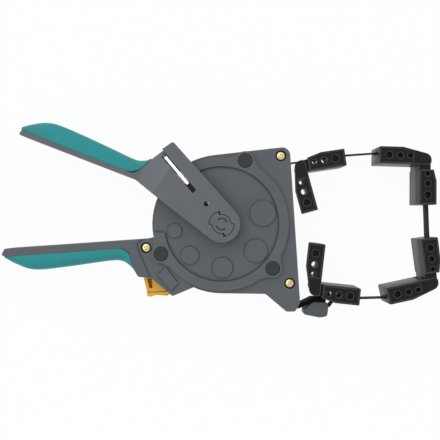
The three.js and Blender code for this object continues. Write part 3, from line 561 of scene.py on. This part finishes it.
# %% [markdown]
# ## Softened engineering pieces
# A moulded edge always has a small radius, and that radius is what catches the light. The
# engineering pieces have sharp edges. Changing their meshes isn't allowed, but modifiers leave
# the mesh alone. One welds the split corners. Simple pieces then have their flat triangles joined
# and their edges cut round. The shells, the lever and the jaws have too many small steps for that,
# so their creases stay sharp in the mesh, and only the finish rounds them.

# %% Soften and finish every engineering piece
slot_of = {entry["node"]: entry["material_slot"] for entry in frame["record"]["subparts"]}
edge_radius = {"hub_lock": 0.3, "hook_tab": 0.35, "band_hook": 0.5, "drive_pawl": 0.2}
rounding_steps = 3
crease_angle = math.radians(35)
flat_angle = math.radians(0.5)
weld_reach, rounded_weld_reach = 0.001, 0.12


def soften(piece, radius=None):
    """Rounds a piece's edges by modifiers alone, or keeps its creases without a radius."""
    piece.data.shade_smooth()
    weld = piece.modifiers.new("weld split corners", "WELD")
    weld.merge_threshold = (rounded_weld_reach if radius else weld_reach) * MM
    if radius:
        flats = piece.modifiers.new("join flat faces", "DECIMATE")
        flats.decimate_type = "DISSOLVE"
        flats.angle_limit = flat_angle
        rounding = piece.modifiers.new("round the edges", "BEVEL")
        rounding.width = radius * MM
        rounding.segments = rounding_steps
        rounding.limit_method = "ANGLE"
        rounding.angle_limit = crease_angle
        rounding.use_clamp_overlap = False
        rounding.loop_slide = False
    else:
        creases = piece.modifiers.new("keep the creases", "EDGE_SPLIT")
        creases.split_angle = crease_angle
    piece.modifiers.new("flat faces stay flat", "WEIGHTED_NORMAL")


own_finish = {"drive_pawl": "pawl", "hook_tab": "tab_gray", "band_hook": "hook_black"}
own_finish.update({f"{jaw}_pin": "pawl" for jaw in ("tl", "tr", "br", "bl")})
for name, piece in nodes.items():
    piece.data.materials.clear()
    piece.data.materials.append(finish[own_finish.get(name, slot_of[name])])
    soften(piece, edge_radius.get(name))
print("rounded:", len(edge_radius), "creased:", len(nodes) - len(edge_radius))

# %% [markdown]
# ## Helpers for new pieces
# Grips, straps and the spring are built as lofts: a row of rings, each with the same number of
# points, joined by four-sided faces and closed at both ends. Rings give full control of how a
# section swells and thins along its length, which a plain extrusion can't do. Each new piece is
# then kept: it gets its finish and its body, and it names the engineering piece that it replaces.


# %% Keep and loft
def keep(name, mesh_builder, slot, body, stands_for=()):
    """Makes a finished mesh into a piece that rides on a body, or on none."""
    mesh = bpy.data.meshes.new(name)
    bmesh.ops.recalc_face_normals(mesh_builder, faces=mesh_builder.faces)
    mesh_builder.to_mesh(mesh)
    mesh_builder.free()
    mesh.shade_smooth()
    mesh.materials.append(finish[slot])
    piece = bpy.data.objects.new(name, mesh)
    bpy.context.scene.collection.objects.link(piece)
    if body:
        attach(piece, body)
    if stands_for:
        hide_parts(*stands_for)
    return piece


def loft(rings, mapped=None):
    """A closed skin over rings of points; mapped gives each ring's place along the strip."""
    skin = bmesh.new()
    rows = [[skin.verts.new(point) for point in ring] for ring in rings]
    count = len(rows[0])
    chart = skin.loops.layers.uv.new("UVMap") if mapped else None
    for i in range(len(rows) - 1):
        for k in range(count):
            after = (k + 1) % count
            face = skin.faces.new((rows[i][k], rows[i][after], rows[i + 1][after], rows[i + 1][k]))
            if chart:
                for corner, along in zip(face.loops, (i, i, i + 1, i + 1)):
                    corner[chart].uv = (mapped[along], corner.vert.co.z)
    skin.faces.new(rows[0])
    skin.faces.new(rows[-1])
    return skin


print("ready to loft pieces and keep them")

# %% [markdown]
# Screws and plugs are round, so they are turned as on a lathe: a profile of radius and height is
# swept once about an upright axis. Where the profile meets the axis, the whole ring is one point.

# %% Turn
plug_steps, screw_steps = 40, 32


def turned(centre, profile, steps):
    """Turns a profile of (radius, height) pairs about an upright axis; both ends lie on it."""
    skin = bmesh.new()
    x, y = centre
    angles = [2 * math.pi * k / steps for k in range(steps)]
    rows = []
    for radius, height in profile:
        if radius == 0:
            rows.append([skin.verts.new(Vector((x, y, height)) * MM)])
            continue
        row = []
        for angle in angles:
            spot = (x + radius * math.cos(angle), y + radius * math.sin(angle), height)
            row.append(skin.verts.new(Vector(spot) * MM))
        rows.append(row)
    for low, high in zip(rows, rows[1:]):
        for k in range(steps):
            after = (k + 1) % steps
            below = [low[k % len(low)], low[after % len(low)]]
            above = [high[after % len(high)], high[k % len(high)]]
            skin.faces.new(list(dict.fromkeys(below + above)))
    return skin


print("facets round a plug and a screw:", plug_steps, screw_steps)

# %% [markdown]
# Lines guide the lofts. A smooth curve runs through a few given points, and each span is bent by
# its neighbours. Any line can then be walked in equal steps, so that the rings stand evenly.


# %% Paths
def along_path(points, count):
    """Points at equal steps along a polyline."""
    vectors = [Vector(p) for p in points]
    reach = [0]
    for a, b in zip(vectors, vectors[1:]):
        reach.append(reach[-1] + (b - a).length)
    found = []
    for i in range(count + 1):
        goal = reach[-1] * i / count
        k = max(j for j in range(len(reach) - 1) if reach[j] <= goal + 1e-9)
        share = (goal - reach[k]) / (reach[k + 1] - reach[k])
        found.append(vectors[k].lerp(vectors[k + 1], min(1, share)))
    return found


def smooth_curve(points, per_span=8):
    """A curve through the points, each span bent by its neighbours."""
    vectors = [Vector(p) for p in points]
    found = []
    for i in range(len(vectors) - 1):
        before = vectors[max(0, i - 1)]
        a, b = vectors[i], vectors[i + 1]
        after = vectors[min(len(vectors) - 1, i + 2)]
        for k in range(per_span):
            t = k / per_span
            found.append(
                0.5
                * (
                    2 * a
                    + (b - before) * t
                    + (2 * before - 5 * a + 4 * b - after) * t**2
                    + (3 * a - before - 3 * b + after) * t**3
                )
            )
    return found + [vectors[-1]]


print("points on one smooth span:", len(smooth_curve([(0, 0), (1, 0)])))

# %% [markdown]
# ## Grips
# Each grip is a soft half sleeve on the outer side of a handle: flat where it meets the gray spine,
# round where the palm closes on it. Two guide lines, the joint with the spine and the
# belly, run along the handle. Between each pair of points on them stands one section, a slab whose
# outer corners are rounded as far as its width allows.

# %% Grip sections
grip_back, grip_front = 1.6, 24.4
palm_radius, palm_share = 8.5, 0.92
spine_radius, spine_share = 0.6, 0.3
grip_steps = 64
corner_steps = 6


def grip_section(inner, outer):
    """One ring from the spine to the belly and back, as points in the handle's section."""
    across = outer - inner
    width = across.length
    palm = min(palm_radius, palm_share * width)
    close = min(spine_radius, spine_share * width)
    ring = []
    corners = (
        (width - palm, grip_back + palm, palm, 270, 360),
        (width - palm, grip_front - palm, palm, 0, 90),
        (close, grip_front - close, close, 90, 180),
        (close, grip_back + close, close, 180, 270),
    )
    for reach, height, radius, start, end in corners:
        for k in range(corner_steps + 1):
            angle = math.radians(start + (end - start) * k / corner_steps)
            here = reach + radius * math.cos(angle)
            spot = inner + across.normalized() * here
            ring.append(Vector((spot.x, spot.y, height + radius * math.sin(angle))) * MM)
    return ring


def add_grip(name, spine, belly, body, node):
    inner = along_path(spine, grip_steps)
    outer = along_path(smooth_curve(belly), grip_steps)
    rings = [grip_section(a, b) for a, b in zip(inner, outer)]
    return keep(name, loft(rings), "teal_grip", body, (node,))


print("points in a grip section:", 4 * (corner_steps + 1))

# %% [markdown]
# The guide lines follow the handles' outlines. A belly is a smooth curve through a few points. A
# spine is a straight run that ends in one rounded bend, where the grip turns out to its lip.

# %% Grips
bend_radius = 9


def rounded_bend(before, corner, after, radius, steps=corner_steps):
    """The corner of a line as a short arc."""
    b, c, a = Vector(before), Vector(corner), Vector(after)
    start = c + (b - c).normalized() * radius
    end = c + (a - c).normalized() * radius
    shares = [k / steps for k in range(steps + 1)]
    return [start.lerp(c, t).lerp(c.lerp(end, t), t) for t in shares]


fixed_tip, fixed_root, fixed_lip = (-186.7, -28.25), (-80.64, -20.85), (-75.85, -39)
fixed_belly = [
    (-187.4, -28.8),
    (-176.8, -36),
    (-161.9, -40),
    (-134.9, -37.4),
    (-97.5, -32.2),
    (-86.2, -32.5),
    (-79.7, -35.7),
    (-76.2, -38.6),
]
fixed_spine = [
    fixed_tip,
    *rounded_bend(fixed_tip, fixed_root, fixed_lip, bend_radius),
    (-75.9, -38.6),
]

lever_tip, lever_root, lever_lip = (-172.28, 81.12), (-75.21, 43.06), (-60.43, 55.33)
lever_belly = [
    (-172.1, 83.8),
    (-164.1, 87.1),
    (-152.6, 88.4),
    (-141.4, 86.1),
    (-121, 77.5),
    (-96.2, 66),
    (-75.7, 56.4),
    (-65.9, 54.9),
    (-61, 56.4),
]
lever_spine = [
    lever_tip,
    *rounded_bend(lever_tip, lever_root, lever_lip, bend_radius),
    (-60.7, 55.1),
]

add_grip("fixed_grip_skin", fixed_spine, fixed_belly, "housing", "fixed_grip")
add_grip("lever_grip_skin", lever_spine, lever_belly, "lever", "lever_grip")
print("grip rings:", grip_steps + 1)

# %% [markdown]
# ## Screws and plugs
# Three plated pan-head screws close the housing. Each is a turned profile with a driver's cross cut
# from its head. The cross is a plus sign that tapers downwards, so that a driver seats in it.

# %% Screw shape
screw_tip = 6.4
head_back, head_front = 23.4, 25.6
head_radius = 3.9
shank_radius = 1.5
head_profile = [
    (0, screw_tip),
    (0.6, screw_tip + 0.3),
    (shank_radius, screw_tip + 2),
    (shank_radius, head_back),
    (head_radius - 0.1, head_back),
    (head_radius, head_back + 0.3),
    (head_radius, head_back + 1),
    (head_radius - 0.3, head_back + 1.5),
    (head_radius - 1, head_front - 0.25),
    (1.9, head_front - 0.05),
    (0.8, head_front),
    (0, head_front),
]
cross_arm, cross_half, cross_depth = 2.2, 0.55, 1.3
cross_over = 0.6
floor_size, mouth_size = 0.55, 1.15


def cross_cutter(centre, turn):
    """A plus sign that tapers downwards, for cutting a driver's recess."""
    skin = bmesh.new()
    corner = [
        (cross_arm, -cross_half),
        (cross_arm, cross_half),
        (cross_half, cross_half),
    ]
    outline = []
    for quarter in range(4):
        spin = Matrix.Rotation(math.radians(90 * quarter + turn), 2)
        outline += [spin @ Vector(p) for p in corner]
    rows = []
    levels = ((head_front - cross_depth, floor_size), (head_front + cross_over, mouth_size))
    for height, size in levels:
        row = []
        for p in outline:
            spot = (centre[0] + p.x * size, centre[1] + p.y * size, height)
            row.append(skin.verts.new(Vector(spot) * MM))
        rows.append(row)
    count = len(outline)
    for k in range(count):
        after = (k + 1) % count
        skin.faces.new((rows[0][k], rows[0][after], rows[1][after], rows[1][k]))
    skin.faces.new(rows[0])
    skin.faces.new(rows[1])
    bmesh.ops.recalc_face_normals(skin, faces=skin.faces)
    return skin


print("screw length in mm:", round(head_front - screw_tip, 1))

# %% [markdown]
# The cut is made once and kept as the head's own mesh, so no cutter stays in the scene. A screw
# stops wherever it is tight, so each cross points another way.

# %% Screws
screw_places = ((50.9, 58.5), (58.5, -51), (-64.8, -20.4))
cross_turns = (20, 45, 70)
sharp_angle = math.radians(32)


def cut_away(piece, cutter_builder):
    """Cuts one mesh from a piece and keeps the result as the piece's own mesh."""
    mesh = bpy.data.meshes.new("cutter")
    cutter_builder.to_mesh(mesh)
    cutter_builder.free()
    cutter = bpy.data.objects.new("cutter", mesh)
    bpy.context.scene.collection.objects.link(cutter)
    cut = piece.modifiers.new("cut", "BOOLEAN")
    cut.operation = "DIFFERENCE"
    cut.object = cutter
    cut.solver = "EXACT"
    ready = piece.evaluated_get(bpy.context.evaluated_depsgraph_get())
    piece.data = bpy.data.meshes.new_from_object(ready)
    piece.modifiers.clear()
    bpy.data.objects.remove(cutter)


for i, place in enumerate(screw_places):
    head = keep(
        f"plated_screw_{i + 1}",
        turned(place, head_profile, screw_steps),
        "yellow_zinc",
        "housing",
        (f"shell_screw_{i + 1}",),
    )
    cut_away(head, cross_cutter(place, cross_turns[i]))
    head.data.set_sharp_from_angle(angle=sharp_angle)
print("screws:", len(screw_places))

# %% [markdown]
# Three dark plugs hide the cover's screws. Each is turned too, with a soft rim and a faintly dished
# face.

# %% Plugs
plug_circle = 57.8
plug_angles = (69.6, 206.2, 319)
plug_back, plug_front, plug_radius = 28.3, 29.2, 6
plug_profile = [
    (0, plug_back),
    (plug_radius - 0.3, plug_back),
    (plug_radius, plug_back + 0.15),
    (plug_radius, plug_front - 0.4),
    (plug_radius - 0.15, plug_front - 0.12),
    (plug_radius - 0.5, plug_front),
    (plug_radius - 1.1, plug_front - 0.04),
    (2, plug_front - 0.16),
    (0, plug_front - 0.18),
]
for i, angle in enumerate(plug_angles):
    spot = [plug_circle * f(math.radians(angle)) for f in (math.cos, math.sin)]
    keep(
        f"dished_plug_{i + 1}",
        turned(spot, plug_profile, plug_steps),
        "dark_plug",
        "housing",
        (f"boss_plug_{i + 1}",),
    )
print("plugs:", len(plug_angles))

# %% [markdown]
# ## Pawl spring
# A small coil pushes the steel bar towards the lever's hub. The engineering model has a plain rod
# in its place, and that rod gives the coil its ends and its axis. The wire is a loft along a helix.
# When the bar slides back the coil must shorten, but here it rides on the lever as one fixed piece.

# %% Pawl spring
slot_way = Vector((-0.642788, 0.766044, 0))
slot_side = Vector((slot_way.y, -slot_way.x, 0))
upward = Vector((0, 0, 1))
coil_radius, wire_radius = 0.72 * MM, 0.22 * MM
coil_turns, turn_steps, wire_steps = 12, 14, 8

rod = [vertex.co.copy() for vertex in nodes["drive_pawl_spring"].data.vertices]
rod_centre = sum(rod, Vector()) / len(rod)
rod_line = rod_centre - slot_way * rod_centre.dot(slot_way)
rod_near = min(point.dot(slot_way) for point in rod)
rod_far = max(point.dot(slot_way) for point in rod)


def coil_rings():
    """Rings of wire along a helix that just fits between the rod's ends."""
    rings = []
    count = coil_turns * turn_steps
    rise = rod_far - rod_near - 2 * wire_radius
    for i in range(count + 1):
        angle = 2 * math.pi * i / turn_steps
        outward = slot_side * math.cos(angle) + upward * math.sin(angle)
        along = rod_near + wire_radius + rise * i / count
        centre = rod_line + slot_way * along + outward * coil_radius
        ring = []
        for k in range(wire_steps):
            turn = 2 * math.pi * k / wire_steps
            away = outward * math.cos(turn) + slot_way * math.sin(turn)
            ring.append(centre + away * wire_radius)
        rings.append(ring)
    return rings


coil = keep("pawl_coil", loft(coil_rings()), "steel", "lever", ("drive_pawl_spring",))
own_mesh(coil)

# %% [markdown]
# ## The band
# The band leaves the housing at its top corner, runs through the jaws' channels, turns round the
# two far corners and comes back along the bottom. Every piece of it is a loft of one small section,
# a flat ribbon with rolled edges that stands on edge.

# %% Band section
band_back, band_front, band_thick = 7, 19, 0.8
selvage_height, selvage_share = 0.35, 0.6
half_thick = band_thick / 2
rolled = half_thick * selvage_share
band_section = (
    (-half_thick, band_back + selvage_height),
    (-rolled, band_back),
    (rolled, band_back),
    (half_thick, band_back + selvage_height),
    (half_thick, band_front - selvage_height),
    (rolled, band_front),
    (-rolled, band_front),
    (-half_thick, band_front - selvage_height),
)


def ribbon(path):
    """The loft of a flat ribbon that stands on edge along a path."""
    rings, travelled, total = [], [], 0.0
    for i, here in enumerate(path):
        before = path[max(0, i - 1)]
        after = path[min(len(path) - 1, i + 1)]
        if i:
            total += (here - before).length
        travelled.append(total * MM)
        tangent = (after - before).normalized()
        normal = Vector((-tangent.y, tangent.x))
        ring = []
        for out, height in band_section:
            spot = here + normal * out
            ring.append(Vector((spot.x, spot.y, height)) * MM)
        rings.append(ring)
    return loft(rings, travelled)


print("band width in mm:", band_front - band_back)

# %% [markdown]
# The band follows the legs of the jaws. A leg starts at its jaw's pin and points one way, and the
# band lies a fixed distance to one side of it. So a jaw, a direction, a side and a reach are enough
# to name a point on the band.

# %% Points on the band
leg_length, band_offset = 38, 6.4
jaw_pins = {"tl": (69.3, 47.9), "tr": (173.2, 54.5), "br": (179, -50.3), "bl": (81.5, -54.9)}


def from_angle(reach, degrees):
    return Vector((math.cos(math.radians(degrees)), math.sin(math.radians(degrees)))) * reach


def on_leg(jaw, degrees, side, reach):
    """A point on the band, a way along a jaw's leg from its pin."""
    pin = Vector(jaw_pins[jaw])
    return pin + from_angle(reach, degrees) + from_angle(band_offset, degrees + 90 * side)


def stretch(points, step=2.0):
    """A path with a point every step or so, its corners kept."""
    path = [points[0]]
    for a, b in zip(points, points[1:]):
        count = max(1, round((b - a).length / step))
        path += [a.lerp(b, k / count) for k in range(1, count + 1)]
    return path


print("jaws:", ", ".join(jaw_pins))

# %% [markdown]
# There are three straight stretches. Each rides on the body that holds it, and runs along the leg
# of one jaw and on to the leg of the next. The first comes from the roll inside the housing. The
# last bends out of its second jaw and ends at the hook.

# %% Straight stretches
roll_radius, roll_angle = 44.2, 98.2
hook_bend, hook_end = (24, 20), (93.4, -72.4)
stretch_legs = {
    "band_feed": ("housing", ("tl", 8.5, 1), ("tr", 178.4, -1)),
    "band_right": ("right_side", ("tr", -90.2, 1), ("br", 97.3, -1)),
    "band_bottom": ("bottom_side", ("br", 192.2, 1), ("bl", -6, -1)),
}
for node, (body, first, last) in stretch_legs.items():
    points = [on_leg(*first, 0), on_leg(*first, leg_length), on_leg(*last, leg_length)]
    if node == "band_feed":
        points.insert(0, from_angle(roll_radius, roll_angle))
    if node == "band_bottom":
        points += [*(on_leg(*last, reach) for reach in hook_bend), Vector(hook_end)]
    else:
        points.append(on_leg(*last, 0))
    keep(f"{node}_strap", ribbon(stretch(points)), "band", body, (node,))
print("straight stretches:", len(stretch_legs))

# %% [markdown]
# Each far corner has a short bend between two stretches. It rides on neither of its neighbours'
# bodies; its place is baked into its own mesh. A hair's gap is left at its ends.

# %% Bends
bend_gap = 0.3
end_gap = math.degrees(bend_gap / band_offset)


def arc_path(jaw, start, end, step=6):
    """The band's arc round a jaw's pin, from one direction in degrees to another."""
    pin = Vector(jaw_pins[jaw])
    count = max(3, round(abs(end - start) / step))
    turns = [start + (end - start) * k / count for k in range(count + 1)]
    return [pin + from_angle(band_offset, turn) for turn in turns]


tr_bend = arc_path("tr", 88.4 - end_gap, -0.2 + end_gap)
br_bend = arc_path("br", 7.3 - end_gap, -77.8 + end_gap)
for node, first, second, path in (
    ("tr_band_bend", "housing", "right_side", tr_bend),
    ("br_band_bend", "right_side", "bottom_side", br_bend),
):
    strap = keep(f"{node}_strap", ribbon(path), "band", None, (node,))
    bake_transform(strap)
print("points on the bends:", len(tr_bend), len(br_bend))
